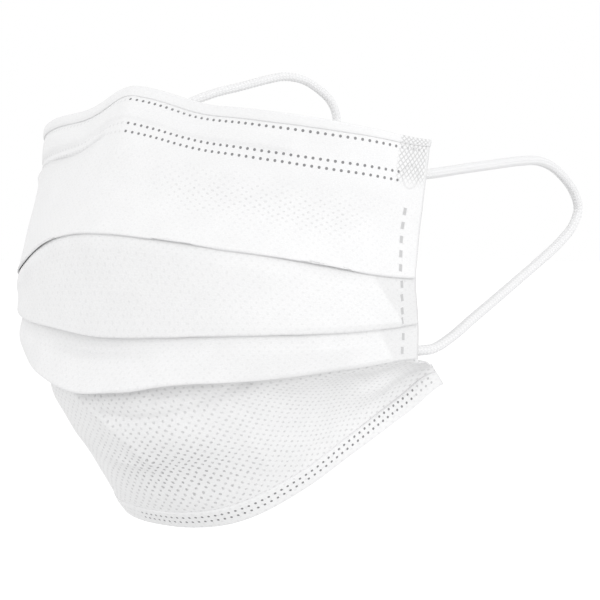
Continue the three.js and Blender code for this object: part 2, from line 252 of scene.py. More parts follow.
EMBOSS_X = 0.40  # embossed points a millimetre, across the cloth
EMBOSS_Y = 0.48  # and down it
EMBOSS_DEPTH = 0.09  # millimetres
EMBOSS_DRIFT = 2.4  # radians by which their rows wander
MARK_TONE = 0.26  # darker on the lines of the corner weld
PAINTED_LIGHT_TONE = 0.07  # painted shade, darker where the side weld presses the plies flat below the first fold; below zero, a painted highlight
THREAD_STRETCH = 2.0  # the fibres lie along the width
LATTICE_PITCH = 1.05  # between the crossing lines of the corner weld
LATTICE_BOX = (76.5, 87.2, 0.6, 9.5)  # side edge strip that it covers: across from the middle, then down
WELD_PLACE = (81.7, 8.6)  # round weld over a cord's end
WELD_RADIUS = 2.7


def corner_marks(t, side, y):
    """The crossed lines of the corner weld, and the ring of the round weld below it."""
    x0, x1, y0, y1 = LATTICE_BOX
    lines = 0
    for turn in (1, -1):
        place = t.math("MULTIPLY", t.math("MULTIPLY_ADD", y, turn, side), 1 / (LATTICE_PITCH * math.sqrt(2)))
        gap = t.math("ABSOLUTE", t.math("SUBTRACT", t.math("FRACT", place), 0.5))
        line = t.math("MULTIPLY_ADD", gap, 5.0, -1.5, clamp=True)
        lines = line if turn == 1 else t.math("MAXIMUM", lines, line)
    start, end = t.math("SUBTRACT", side, x0, clamp=True), t.math("SUBTRACT", x1, side, clamp=True)
    inside = t.math("MULTIPLY", start, end)
    below = t.math("SUBTRACT", y, y0 - 1, clamp=True)
    fade = t.math("MULTIPLY_ADD", y, -0.3, 0.3 * y1 + 0.6, clamp=True)
    down = t.math("MULTIPLY", below, fade)
    lattice = t.math("MULTIPLY", lines, t.math("MULTIPLY", inside, down))
    dx, dy = t.math("SUBTRACT", side, WELD_PLACE[0]), t.math("SUBTRACT", y, WELD_PLACE[1])
    radius = t.math("SQRT", t.math("ADD", t.math("MULTIPLY", dx, dx), t.math("MULTIPLY", dy, dy)))
    off = t.math("ABSOLUTE", t.math("SUBTRACT", radius, WELD_RADIUS))
    ring = t.math("MULTIPLY", t.math("MULTIPLY_ADD", off, -3.0, 1.0, clamp=True), 0.45)
    return lattice, ring


def nonwoven(name, base, dot, fibre):
    """Spunbond cloth: a diamond grid of small fused points, loose fibres between them, and faint clouds."""
    t = Tree(name, 0.92, 0.18, 0.08)
    cloth, _ = t.attribute("cloth")
    x, y, _ = t.axes(cloth)
    mirrored = t.scaled(cloth, (1.0, -1.0, 1.0))
    drifts = t.noise(cloth, 0.5, 3), t.noise(mirrored, 0.6, 3)
    phases = []
    for axis, rate, drift in zip((x, y), (EMBOSS_X, EMBOSS_Y), drifts):
        wander = t.math("MULTIPLY_ADD", drift, EMBOSS_DRIFT, -EMBOSS_DRIFT / 2)
        phases.append(t.math("MULTIPLY_ADD", axis, math.tau * rate, wander))
    across, down = phases
    one = t.math("COSINE", t.math("ADD", across, down))
    two = t.math("COSINE", t.math("SUBTRACT", across, down))
    both = t.math("MULTIPLY", t.math("ADD", one, two), 0.5)
    top = t.math("MULTIPLY", t.math("SUBTRACT", both, 0.48, clamp=True), 3.2)
    point = t.math("SMOOTH_MIN", top, 1.0, 0.3)
    uneven = t.math("MULTIPLY_ADD", t.noise(cloth, 1.3, 4, 0.8), 3.6, -1.25, clamp=True)
    # real embossing, and on the chin also painted shade
    _, strength = t.attribute("emboss_and_painted_shade")
    point = t.math("MULTIPLY", point, t.math("MULTIPLY", uneven, strength))
    threads = t.noise(t.scaled(cloth, (1.0, THREAD_STRETCH, 1.0)), 1.9, 4, 0.7)
    cloud = t.noise(cloth, 0.16, 3)
    clouded = t.math("MULTIPLY_ADD", cloud, fibre * 0.5, 1 - fibre * 1.25)
    tone = t.math("MULTIPLY_ADD", threads, fibre * 2, clouded)
    # painted shade beside the side welds and a painted highlight near the chin's corner, carried by one
    # attribute
    _, painted_light = t.attribute("painted_light")
    tone = t.math("MULTIPLY", tone, t.math("MULTIPLY_ADD", painted_light, -PAINTED_LIGHT_TONE, 1.0))
    side = t.math("ABSOLUTE", x)
    lattice, ring = corner_marks(t, side, y)
    tone = t.math("MULTIPLY_ADD", t.math("ADD", lattice, ring), -MARK_TONE, tone)
    shade = t.nodes.new("ShaderNodeVectorMath")
    shade.operation = "SCALE"
    t.links.new(t.mix(point, base, dot), shade.inputs[0])
    t.links.new(tone, shade.inputs["Scale"])
    t.links.new(shade.outputs[0], t.shader.inputs["Base Color"])
    height = t.math("SUBTRACT", t.math("MULTIPLY", threads, 0.45), t.math("ADD", point, lattice))
    t.bump(height, EMBOSS_DEPTH * MM)
    return t.material


def fused(name, base, rough):
    """Film where the plies are melted together."""
    t = Tree(name, rough, 0.5)
    cloth, _ = t.attribute("cloth")
    grain = t.noise(cloth, 3.1, 3)
    dark = tuple(c * 0.8 for c in base)
    t.links.new(t.mix(grain, dark, base), t.shader.inputs["Base Color"])
    t.bump(grain, 0.03 * MM)
    return t.material


def knit(name, base, gap):
    """Knitted elastic: the attribute stitch is 1 on a loop's crown and 0 between loops, where the darker gap
    colour is painted shade.
    """
    t = Tree(name, 0.85, 0.2, 0.1)
    _, crown = t.attribute("stitch")
    cloth, _ = t.attribute("cloth")
    fuzz = t.noise(cloth, 5.0, 3, 0.6)
    share = t.math("MULTIPLY_ADD", fuzz, 0.5, t.math("MULTIPLY_ADD", crown, 0.75, -0.25), clamp=True)
    t.links.new(t.mix(share, gap, base), t.shader.inputs["Base Color"])
    t.bump(fuzz, 0.05 * MM)
    return t.material


CLOTH = nonwoven("spunbond_sheet", (0.717, 0.717, 0.72), (0.46, 0.46, 0.463), 0.13)
HEM = nonwoven("spunbond_hem", (0.718, 0.718, 0.721), (0.60, 0.60, 0.603), 0.1)
FUSED = fused("fused_point", (0.22, 0.22, 0.225), 0.45)
FUSED_PALE = fused("fused_pale", (0.50, 0.50, 0.505), 0.5)
FAINT = fused("fused_faint", (0.712, 0.712, 0.715), 0.6)
JACKET = fused("wire_jacket", (0.75, 0.75, 0.755), 0.45)
# its second colour, between the knitted loops, is painted shade
ELASTIC = knit("knitted_elastic", (0.86, 0.86, 0.863), (0.66, 0.66, 0.665))


def mesh_object(name, verts, faces, materials, attributes=None, picks=None):
    """A smooth-shaded mesh from points in millimetres, riding on the root body."""
    mesh = bpy.data.meshes.new(name)
    mesh.from_pydata((np.asarray(verts) * MM).tolist(), [], [list(map(int, f)) for f in faces])
    mesh.polygons.foreach_set("use_smooth", [True] * len(mesh.polygons))
    for key, values in (attributes or {}).items():
        values = np.asarray(values, np.float32)
        kind = "FLOAT" if values.ndim == 1 else "FLOAT_VECTOR"
        layer = mesh.attributes.new(key, kind, "POINT")
        layer.data.foreach_set("value" if values.ndim == 1 else "vector", values.ravel())
    for material in materials:
        mesh.materials.append(material)
    if picks is not None:
        mesh.polygons.foreach_set("material_index", picks)
    mesh.validate()
    mesh.update()
    obj = bpy.data.objects.new(name, mesh)
    bpy.context.scene.collection.objects.link(obj)
    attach(obj, "root")
    return obj


# The five lines across the mask
def level_points(name, u):
    level = LEVELS[name]
    angle = (np.linspace(0, 1, 4001) - 0.5) * math.pi
    sine, cosine = np.abs(np.sin(angle)), np.maximum(np.cos(angle), 0)
    x = np.sign(angle) * SIDE_HALF_SPAN * level["span"] * sine ** (2 / level["squareness"])
    centre, side = level["back"]
    y = SETBACK * (side + (centre - side) * cosine ** (2 / level["squareness"]))
    middle, end = -CENTRE_HEIGHT * level["drop"][0], -SIDE_HEIGHT * level["drop"][1]
    z = end + (middle - end) * cosine ** level["fall"]
    pinch = level.get("ridge", 0) * np.exp(-((x / RIDGE_HALF_WIDTH) ** 2))
    points = np.stack([x, y - RIDGE_PUSH * pinch, z + RIDGE_RISE * pinch], 1)
    length = np.concatenate([[0], np.cumsum(np.linalg.norm(np.diff(points, axis=0), axis=1))])
    return np.stack([np.interp(u * length[-1], length, points[:, k]) for k in range(3)], 1), length[-1]


TRIM_EASE = 0.035  # share of the width over which a trim is eased


def trimmed(name, u):
    """A line with its trim, eased so that the steps of the table leave no corners."""
    table = np.array(TRIM[name])
    spread = np.linspace(-TRIM_EASE, TRIM_EASE, 15)
    weight = np.cos(spread / TRIM_EASE * math.pi / 2) + 0.02
    points = level_points(name, u)[0]
    for k, direction in ((1, CAMERA_RIGHT), (2, UPWARD)):
        shares = [w * np.interp(u + d, table[:, 0], table[:, k]) for d, w in zip(spread, weight)]
        points = points + (sum(shares) / weight.sum())[:, None] * direction
    return points


U = np.linspace(0, 1, COLUMNS + 1)
LINES = {name: trimmed(name, U) for name in LEVELS}
LENGTHS = {name: level_points(name, U)[1] for name in LEVELS}
OPEN = 1 - np.abs(2 * U - 1) ** 3
SIDE = np.abs(2 * U - 1)[:, None]
HOLLOW = 1.3 * np.exp(-(((SIDE - 0.6) / 0.28) ** 2))  # of the cheeks, over the first pleat
# The wearer's right cheek fills its hollow
FULL_CHEEK = 1 - 1.2 * np.exp(-(((U[:, None] - 0.2) / 0.12) ** 2))


def along(points):
    return unit(np.gradient(points, axis=0))


def level_out(points):
    a = along(points)
    return unit(np.stack([a[:, 1], -a[:, 0], 0 * a[:, 0]], 1))


def normal_between(upper, lower, a):
    return unit(np.cross(unit(lower - upper), a))


CHEEK_TURN = (0.719, 0.695)  # cosine and sine of the photograph's azimuth

# The chin panel towards the side edges: distance from the middle as a share, then how far the row moves
# rearward and out, up, and inward under the jaw
CHIN_ROW_1 = [(0.4, 0, 0, 0), (0.6, -1.5, 1.7, 1), (0.7, -1.7, 2.2, 2), (0.8, -1.7, 2.2, 3),
              (0.88, -1, 1.5, 3), (0.94, -0.9, 0, 2.5), (1, 0.55, -1.1, 1.5)]
CHIN_ROW_2 = [(0.4, 0, 0, 0), (0.6, -1.7, 1.7, 2), (0.7, -2.5, 2.7, 3.5), (0.8, -2, 2.5, 5),
              (0.88, -1.7, 2.2, 5.5), (0.94, -1.5, 0.8, 5), (1, 0.5, -0.9, 3)]
CHIN_ROW_3 = [(0.4, 0, 0, 0), (0.6, 0.5, -0.7, 0), (0.7, 0.8, -1, 0), (0.8, 1.2, -1.2, 0),
              (0.88, 1.2, -1.2, 0), (0.94, 1.2, -1.6, 0), (1, 2.8, -2.1, -1.2)]


def side_shift(table):
    table = np.array(table)
    right, up, away = (np.interp(SIDE[:, 0], table[:, 0], table[:, k]) for k in (1, 2, 3))
    sign = np.sign(U - 0.5)
    cosine, sine = CHEEK_TURN
    return np.stack([sign * (right * cosine - away * sine), right * sine + away * cosine, up], 1)


def control_rows():
    """The sheet's corner points, one row across the mask each, with the radius each corner is rounded to."""
    outline = LINES["upper_edge"]
    into = unit(LINES["pleat_1"] - outline)
    edge = outline + into * (PLY + LAY)
    inner = edge + into * HEM_PANEL_DEPTH
    outward = normal_between(edge, inner, along(outline))
    cheek = edge + (LINES["pleat_1"] - edge) * 0.66
    hollow = CHEEK_HOLLOW * (1 - smooth(0.8, 1, SIDE)) + HOLLOW * FULL_CHEEK
    rows = [edge, inner - outward * HOLLOW, cheek - outward * hollow]
    radii = [0, 5, 8]
    for name in ("pleat_1", "pleat_2", "pleat_3"):
        tip = LINES[name]
        inward = -level_out(tip)
        up = unit(rows[-1] - tip)
        depth = (RETURN_SIDE[name] + (RETURN_OPEN - RETURN_SIDE[name]) * OPEN)[:, None]
        first = (PITCH_SIDE + (PITCH_TIP - PITCH_SIDE) * OPEN)[:, None]
        second = first + (PITCH_SIDE + (PITCH_OPEN[name] - PITCH_SIDE) * OPEN)[:, None]
        rearward = along(tip) * np.sign(U - 0.5)[:, None] * smooth(0.88, 1.0, SIDE) * SIDE_STEP
        rows += [
            tip,
            tip + inward * first,
            tip + inward * first + up * depth,
            tip + inward * second + up * depth + rearward,
            tip + inward * second - up * KNEE_DROP + rearward,
        ]
        radii += [9, 9, 9, 9, 2.5]
    chin, knee = LINES["chin_edge"], rows[-1]
    outward = normal_between(knee, chin, along(chin))
    flare = smooth(0.84, 1.0, SIDE) * np.array([0, 0, CORNER_FLARE])
    bulge = outward * CHIN_BULGE * (1 - 1.3 * smooth(0.5, 0.95, SIDE))
    last = knee + (chin - knee) * 0.62 + bulge * 1.15 + flare
    rows.append(knee + (chin - knee) * 0.33 + bulge + flare + side_shift(CHIN_ROW_1))
    rows.append(last + side_shift(CHIN_ROW_2))
    # towards the corners the hem turns to lie along the jaw
    turned = np.stack([-np.sign(2 * U - 1) * 0.5, -0.45 + 0 * U, 0.74 + 0 * U], 1)
    turn = smooth(0.25, 0.9, SIDE) * HEM_TURN
    into = unit(unit(last - chin) * (1 - turn) + turned * turn)
    into = unit(into * CHIN_HEM_DEPTH + side_shift(CHIN_ROW_3))
    edge = chin + into * (PLY + LAY)
    rows += [edge + into * CHIN_HEM_DEPTH, edge]
    radii += [12, 12, 8, 0]
    return rows, radii


# Samples along each straight stretch, then round each corner
STRETCHES = [26, 5, 14] + [0, 3, 0, 4, 20] + [0, 3, 0, 4, 18] + [0, 3, 0, 4, 10] + [7, 9, 8]
CORNER_STEPS = 4
SHARE = {True: 0.42, False: 0.5}  # of a stretch that a corner may take; a hairpin's two corners meet


def profile(rows, radii):
    """Rows of points with the corners rounded, and the row number at which each corner sits."""
    made, spots = [rows[0]], [0]
    leave = rows[0]
    for j in range(1, len(rows)):
        step = rows[j] - rows[j - 1]
        size = np.linalg.norm(step, axis=1, keepdims=True)
        if j < len(rows) - 1:
            after = rows[j + 1] - rows[j]
            next_size = np.linalg.norm(after, axis=1, keepdims=True)
            room = np.minimum(size * SHARE[STRETCHES[j - 1] > 0], next_size * SHARE[STRETCHES[j] > 0])
            cut = np.minimum(radii[j], room)
            arrive = rows[j] - unit(step) * cut
        else:
            arrive = rows[j]
        count = STRETCHES[j - 1]
        for k in range(1, count + 1):
            made.append(leave + (arrive - leave) * k / (count + 1))
        made.append(arrive)
        if j < len(rows) - 1:
            leave = rows[j] + unit(after) * cut
            for k in range(1, CORNER_STEPS):
                t = k / CORNER_STEPS
                made.append(arrive * (1 - t) ** 2 + rows[j] * 2 * t * (1 - t) + leave * t * t)
            spots.append(len(made) - CORNER_STEPS // 2)
            made.append(leave)
    spots.append(len(made) - 1)
    # a hairpin's two corners meet, which makes a row twice: keep one of each pair
    grid = np.stack(made, 1)
    gap = np.linalg.norm(np.diff(grid, axis=1), axis=2).max(0)
    keep = np.concatenate([[True], gap > 1e-4])
    renumber = np.cumsum(keep) - 1
    return grid[:, keep], [int(renumber[s]) for s in spots]


GRID, SPOTS = profile(*control_rows())


def normals_of(grid):
    return unit(np.cross(np.gradient(grid, axis=1), np.gradient(grid, axis=0)))


def arc_down(grid):
    step = np.linalg.norm(np.diff(grid, axis=1), axis=2)
    return np.concatenate([np.zeros((len(grid), 1)), np.cumsum(step, 1)], 1)


def soft_noise(points, length, amount, waves=9):
    """Smooth bumps about length long, the same for layers that lie together."""
    total = 0
    for _ in range(waves):
        turn = RNG.uniform(0, math.tau)
        k = math.tau / (length * RNG.uniform(0.7, 1.6))
        wave = np.array([math.cos(turn), 0.6 * math.cos(turn), math.sin(turn)]) * k
        total = total + np.sin(points @ wave + RNG.uniform(0, math.tau))
    return total * amount / math.sqrt(waves)


# Creases of the worn cloth: panel, points as share of the width and millimetres down, half width, height
CREASES = [
    ("chin", [(0.75, -2.0), (0.735, 0.0), (0.694, 3.1), (0.644, 6.0), (0.60, 6.7), (0.55, 6.4),
              (0.50, 4.6)], 1.1, -1.1),
    ("chin", [(0.43, -1.5), (0.472, 3.2), (0.50, 6.8), (0.522, 11.1), (0.55, 18.7)], 1.5, 1.1),
    ("chin", [(0.43, 17.0), (0.48, 18.5), (0.54, 20.3)], 1.0, 0.6),
    ("chin", [(0.595, 1.4), (0.625, 0.8), (0.655, 1.6)], 1.0, -0.7),
    ("chin", [(0.978, 1.0), (0.983, 8.0), (0.985, 20.0)], 0.9, -0.5),
]
# Soft swells and dents: panel, their middle in the same terms, half size across and down, height
SWELLS = [
    ("chin", 0.60, 12.0, 18.0, 6.0, 1.3),
    ("chin", 0.57, 25.0, 16.0, 6.0, -1.2),
    ("chin", 0.915, 22.0, 8.0, 6.0, 1.3),
    ("second", 0.2, 0.8, 26.0, 2.6, 0.75),
    ("third", 0.47, 1.8, 22.0, 2.4, -1.3),
    ("chin", 0.95, 2.5, 5.0, 2.2, -0.7),
    ("chin", 0.975, 12.0, 4.0, 3.0, -0.5),
    ("chin", 0.37, 24.0, 12.0, 10.0, -1.1),
    ("chin", 0.32, 5.0, 10.0, 5.0, 1.0),
    ("third", 0.235, 5.0, 14.0, 4.0, 1.2),
]
# Grooves and a ridge along the rows of weld points on the wearer's right: depth from the edge, height
FAR_GROOVES = ((2.4, -0.35), (9.6, -0.45), (11.7, -0.85), (13.4, 0.55))
PANELS = {"upper": (0, 3), "second": (7, 8), "third": (12, 13), "chin": (17, 21)}


def panel_arc(arc, name):
    """Millimetres down one panel, and a mask of its rows."""
    first, last = (SPOTS[k] for k in PANELS[name])
    rows = np.arange(arc.shape[1])[None, :]
    return arc - arc[:, first:first + 1], (rows >= first - 1) & (rows <= last)


def line_distance(x, y, line):
    best = np.full(x.shape, 1e9)
    for (ua, ya), (ub, yb) in zip(line, line[1:]):
        ax, dx, dy = (ua - 0.5) * CLOTH_WIDTH, (ub - ua) * CLOTH_WIDTH, yb - ya
        t = np.clip(((x - ax) * dx + (y - ya) * dy) / (dx * dx + dy * dy), 0, 1)
        best = np.minimum(best, np.hypot(x - ax - t * dx, y - ya - t * dy))
    return best


def flat_strip_and_painted_shade(arc):
    """1 where the side weld holds the second and third panels flat, seen below the first fold. It keeps the
    panels from puffing out there, and darkens the cloth there as painted shade of the recess beside the weld.
    """
    total = 0
    for name in ("second", "third"):
        s, mask = panel_arc(arc, name)
        edge = 0.852 + 0.0066 * np.clip(s, 0, 12)
        total = total + smooth(edge, edge + 0.018, SIDE) * mask
    return total


def shape_sheet(grid):
    """Moves the smooth sheet to the folds, dents and creases of the worn cloth."""
    normal = normals_of(grid)
    arc = arc_down(grid)
    x = grid[:, :, 0]
    move = soft_noise(grid, 34, 0.28) + soft_noise(grid, 13, 0.07)
    move = move * (1 - smooth(0.9, 1.0, SIDE) * 0.6)
    # the wire stands out between the rows of weld points
    wire = smooth(WIRE_DROP - 3.1, WIRE_DROP - 1.2, arc) * (1 - smooth(WIRE_DROP + 1.1, WIRE_DROP + 2.4, arc))
    from_middle = np.abs(U - 0.5)[:, None] * LENGTHS["upper_edge"]
    wire = wire * (1 - smooth(WIRE_LENGTH / 2 - 5, WIRE_LENGTH / 2 + 2, from_middle))
    move = move + WIRE_RELIEF * wire
    # the wire's bend puts a crease down the nose
    lean = x - 0.2 - 0.13 * arc
    crease = np.exp(-(np.sqrt(lean ** 2 + 1.6) / 3.8)) * (1 - smooth(9, 25, arc)) * (arc < 40)
    move = move + NOSE_CREASE * crease * (0.45 + 0.55 * smooth(0, 5, arc))
    # the rows of weld points on the far side lie in shallow grooves
    far = smooth(0.04, 0.12, U[:, None]) * (1 - smooth(0.44, 0.49, U[:, None]))
    for depth, height in FAR_GROOVES:
        move = move + far * height * np.exp(-(((arc - depth) / 0.75) ** 2))
    for name, line, half, height in CREASES:
        s, mask = panel_arc(arc, name)
        distance = line_distance((U[:, None] - 0.5) * CLOTH_WIDTH + 0 * arc, s, line)
        move = move + mask * height * np.exp(-(np.sqrt(distance ** 2 + 0.05) / half))
    for name, u, down, half_across, half_down, height in SWELLS:
        s, mask = panel_arc(arc, name)
        bump = np.exp(-(((U[:, None] - u) * CLOTH_WIDTH / half_across) ** 2) - ((s - down) / half_down) ** 2)
        move = move + mask * height * bump
    # the panels puff out from the flat strip that the side weld presses
    for name in ("second", "third"):
        s, mask = panel_arc(arc, name)
        length = s[:, SPOTS[PANELS[name][1]]][:, None]
        rise = smooth(0.4, 3.2, s) * (1 - smooth(length - 1.1, length + 0.3, s))
        move = move + mask * PUFF * rise * (1 - flat_strip_and_painted_shade(arc)) * smooth(0.3, 0.8, SIDE)
    return grid + normal * move[:, :, None]


GRID = shape_sheet(GRID)
NORMAL = normals_of(GRID)
ARC = arc_down(GRID)
CLOTH_X = (U[:, None] - 0.5) * CLOTH_WIDTH + 0 * ARC
CLOTH_Y = ARC.mean(0)[None, :] + 0 * ARC


def wall(grid, normal, thickness, cloth):
    """Points, faces and cloth places of a closed wall round a grid of points."""
    n, m = grid.shape[:2]
    outer, inner = grid + normal * thickness / 2, grid - normal * thickness / 2
    verts = np.concatenate([outer.reshape(-1, 3), inner.reshape(-1, 3)])
    number = np.arange(n * m).reshape(n, m)
    a, b, c, d = number[:-1, :-1], number[:-1, 1:], number[1:, 1:], number[1:, :-1]
    front = np.stack([a, b, c, d], -1).reshape(-1, 4)
    rim = np.concatenate([number[:, 0], number[-1, 1:], number[-2::-1, -1], number[0, -2:0:-1]])
    after = np.roll(rim, -1)
    edge = np.stack([rim, after, after + n * m, rim + n * m], 1)
    faces = np.concatenate([front, front[:, ::-1] + n * m, edge])
    places = np.stack([cloth[0], cloth[1], 0 * cloth[0]], -1).reshape(-1, 3)
    return verts, faces, np.concatenate([places, places])


def emboss_and_shade_strength():
    """How strongly the embossed points show: most on the chin, least on the flat hem. On the chin, and most
    in a patch on it, the strength also stands for painted shade of the downward-facing, dented cloth.
    """
    near = smooth(0.56, 0.66, U[:, None]) * (1 - smooth(0.86, 0.94, U[:, None]))
    strength = 0.05 + 0.09 * smooth(14, 17, ARC) + 0.34 * near * np.exp(-(((ARC - 22) / 4.5) ** 2))
    for name, amount in (("second", 0.2), ("third", 0.18), ("chin", 0.66)):
        _, mask = panel_arc(ARC, name)
        strength = np.where(mask, amount, strength)
    s, mask = panel_arc(ARC, "chin")
    # painted shade: a patch of denser points where the dented chin turns down
    dark = np.exp(-(((U[:, None] - 0.575) / 0.09) ** 2) - ((s - 23) / 10) ** 2)
    return strength + mask * 1.2 * dark


def corner_painted_highlight():
    """Painted highlight: how much paler the chin panel is near its corner, in units of the painted shade of
    the strip beside the side weld.
    """
    s, mask = panel_arc(ARC, "chin")
    return mask * 1.7 * np.exp(-(((U[:, None] - 0.918) * CLOTH_WIDTH / 8.5) ** 2) - ((s - 19) / 7) ** 2)


verts, faces, places = wall(GRID, NORMAL, SHEET, (CLOTH_X, CLOTH_Y))
# painted shade of the recess beside the side welds, less a painted highlight near the chin's corner
painted_light = np.tile((flat_strip_and_painted_shade(ARC) - corner_painted_highlight()).ravel(), 2)
surface = {"cloth": places, "emboss_and_painted_shade": np.tile(emboss_and_shade_strength().ravel(), 2), "painted_light": painted_light}
sheet = mesh_object("pleated_sheet", verts, faces, [CLOTH], surface)
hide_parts("pleated_panel")


def on_sheet(u, s, lift=0.0):
    """The point and the normal at share u of the width and s millimetres down its column."""
    i = np.clip(np.asarray(u, float) * COLUMNS, 0, COLUMNS - 1e-6)
    low = i.astype(int)
    part = i - low
    result = []
    for column, weight in ((low, 1 - part), (low + 1, part)):
        for field in (GRID, NORMAL):
            pairs = zip(column, s)
            value = np.stack([[np.interp(sk, ARC[c], field[c, :, k]) for k in range(3)] for c, sk in pairs])
            result.append(value * weight[:, None])
    point = result[0] + result[2]
    normal = unit(result[1] + result[3])
    return point + normal * lift, normal


def strip(depths, lifts, from_bottom=False):
    """A grid that follows the sheet at depths from an edge, each depth moved out by its lift. A depth below
    zero goes past the edge."""
    columns = []
    for i in range(COLUMNS + 1):
        arc = ARC[i] if not from_bottom else ARC[i, -1] - ARC[i][::-1]
        grid = GRID[i] if not from_bottom else GRID[i][::-1]
        normal = NORMAL[i] if not from_bottom else NORMAL[i][::-1]
        edge_way = unit(grid[0] - grid[2])
        row = []
        for depth, lift in zip(depths if not callable(depths) else depths(i), lifts):
            n = np.array([np.interp(max(depth, 0), arc, normal[:, k]) for k in range(3)])
            p = np.array([np.interp(max(depth, 0), arc, grid[:, k]) for k in range(3)])
            row.append(p + edge_way * max(-depth, 0) + n * lift)
        columns.append(row)
    return np.array(columns)


def hem(name, front, front_scale, back, from_bottom, node):
    """A ply folded over one edge of the sheet. front and back are lists of (depth, extra lift), and
    front_scale stretches the front depths of each column."""
    rest = SHEET / 2 + LAY + PLY / 2
    crest = [(-rest * math.sin(a), rest * math.cos(a)) for a in np.linspace(0, math.pi, 7)[1:-1]]
    path = [(d, rest + e) for d, e in front] + crest + [(d, -rest - e) for d, e in back]
    count = len(front)

    def depths(i):
        return [p[0] * (front_scale[i] if k < count else 1) for k, p in enumerate(path)]

    grid = strip(depths, [p[1] for p in path], from_bottom)
    if from_bottom:
        grid = grid[:, ::-1]
    cloth_y = arc_down(grid).mean(0)[None, :] + np.zeros(grid.shape[:2]) + (140 if from_bottom else 0)
    cloth_x = (U[:, None] - 0.5) * CLOTH_WIDTH + np.zeros(grid.shape[:2])
    verts, faces, places = wall(grid, normals_of(grid), PLY, (cloth_x, cloth_y))
    surface = {"cloth": places, "emboss_and_painted_shade": np.full(len(verts), 0.5 if from_bottom else 0.15)}
    made = mesh_object(name, verts, faces, [HEM], surface)
    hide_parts(node)
    return made


def ramp_down(depth, steps):
    return [(float(d), 0.0) for d in np.linspace(depth, 0, steps)]


WIRE_ROOM = 0.75  # the strip's wall and the air beside it
back_rows = []
for d in np.linspace(0, 14, 22):
    over = smooth(WIRE_DROP - 3.4, WIRE_DROP - 2.0, d) * (1 - smooth(WIRE_DROP + 2.0, WIRE_DROP + 3.4, d))
    back_rows.append((float(d), float(WIRE_ROOM * over)))
flange = np.interp(np.abs(2 * U - 1), np.linspace(0, 1, len(TOP_ROW)), TOP_ROW) - FLANGE_ABOVE
# in front, the free edge of each folded ply is melted down towards the sheet
front = [(d, -0.17 * max(0.0, d - 0.7) / 0.3) for d, _ in ramp_down(1, 11)]
upper_hem = hem("upper_hem", front, flange, back_rows, False, "upper_binding")
front = [(d, -0.24 * max(0.0, d - 4.6) / 0.9) for d, _ in ramp_down(HEM_PLY_DEPTH, 9)]
narrower = 1 - 0.2 * smooth(0.3, 0.8, SIDE[:, 0])  # towards the corners
lower_hem = hem("lower_hem", front, narrower, ramp_down(HEM_PLY_DEPTH, 9)[::-1], True, "lower_binding")


# Weld points: a low rim round a pressed floor
def pit_mesh(name, frames, half_across, half_down, materials, faint, pale):
    """Material 0 is the rim, 1 the floor, 2 the floor towards the wearer's right, where points are faint, and
    3 the floor beyond pale millimetres rearward, near the side edges."""
    rim, rise, floor = 0.11, 0.05, 0.01
    verts, faces, picks, places = [], [], [], []
    c = 0.45
    corners = [(-1, -c), (-c, -1), (c, -1), (1, -c), (1, c), (c, 1), (-c, 1), (-1, c)]
    count = len(corners)
    rings = [(rim * 1.6, -0.12), (rim * 1.6, -0.01), (rim * 0.7, rise), (0.0, floor)]
    for place, normal, across in frames:
        down = np.cross(across, normal)
        start = len(verts)
        for extra, lift in rings:
            for cx, cy in corners:
                step = across * cx * (half_across + extra) + down * cy * (half_down + extra)
                verts.append(place + step + normal * lift)
                places.append((place[0] + cx * half_across, place[2] + cy * half_down, 0))
        fused_pick = 2 if place[0] + faint[1] * place[2] < faint[0] else 3 if place[1] > pale else 1
        for r in range(3):
            for k in range(count):
                a, b = start + count * r + k, start + count * r + (k + 1) % count
                faces.append((a, b, b + count, a + count))
                picks.append(fused_pick if r == 2 else 0)
        faces.append(tuple(start + 3 * count + k for k in range(count)))
        picks.append(fused_pick)
        faces.append(tuple(start + k for k in reversed(range(count))))
        picks.append(0)
    made = mesh_object(name, np.array(verts), faces, materials, {"cloth": places}, picks)
    made.data.polygons.foreach_set("use_smooth", [False] * len(made.data.polygons))
    return made


NUDGE = 0.004  # share of the width to either side that gives the direction across


def frames_on_sheet(u, s, lift):
    point, normal = on_sheet(u, s, lift)
    ahead, _ = on_sheet(np.minimum(u + NUDGE, 1), s, lift)
    behind, _ = on_sheet(np.maximum(u - NUDGE, 0), s, lift)
    across = unit(ahead - behind)
    across = unit(across - normal * np.sum(across * normal, 1, keepdims=True))
    return list(zip(point, normal, across))


POINT_MATERIALS = [HEM, FUSED, FAINT, FUSED_PALE]
POINT_PITCH = 1.8
TOP_LIFT = SHEET / 2


def row_of_points(depths, inset_side, length, from_bottom=False, lift=TOP_LIFT):
    """Points at depths from an edge, given at equal steps from the middle of the mask to its side."""
    count = int((length - 2 * inset_side) / POINT_PITCH)
    u = (inset_side + (np.arange(count + 1) + 0.5) * (length - 2 * inset_side) / (count + 1)) / length
    depth = np.interp(np.abs(2 * u - 1), np.linspace(0, 1, len(depths)), depths)
    ends = np.interp(u, U, ARC[:, -1])
    return frames_on_sheet(u, ends - depth if from_bottom else depth, lift)


upper_length = LENGTHS["upper_edge"]
upper_frames = row_of_points(TOP_ROW, TOP_INSET, upper_length)
for depths in WIRE_ROWS:
    upper_frames += row_of_points(depths, WIRE_INSET, upper_length)
upper_points = pit_mesh("upper_weld_points", upper_frames, 0.27, 0.27, POINT_MATERIALS, (-0.6, 0.17), 29.5)

chin_lift = SHEET / 2 + LAY + PLY
chin_frames = []
for depths in CHIN_POINT_ROWS:
    chin_frames += row_of_points(depths, CHIN_INSET, LENGTHS["chin_edge"], True, chin_lift)
chin_points = pit_mesh("chin_weld_points", chin_frames, 0.25, 0.22, POINT_MATERIALS, (-7.0, 0), 57.0)

# Dashes of the side welds, down each panel that shows there: panel, first and last share of the width, depths
DASHES = [
    ("upper", (0.966, 0.969), (17.6, 21.0, 24.4, 27.9, 31.3)),
    ("second", (0.973, 0.966), (0.6, 3.9, 7.2, 9.7)),
    ("third", (0.970, 0.969), (1.6, 4.9)),
]
DASH_HALF = (0.46, 0.86)  # half width and half length of a dash


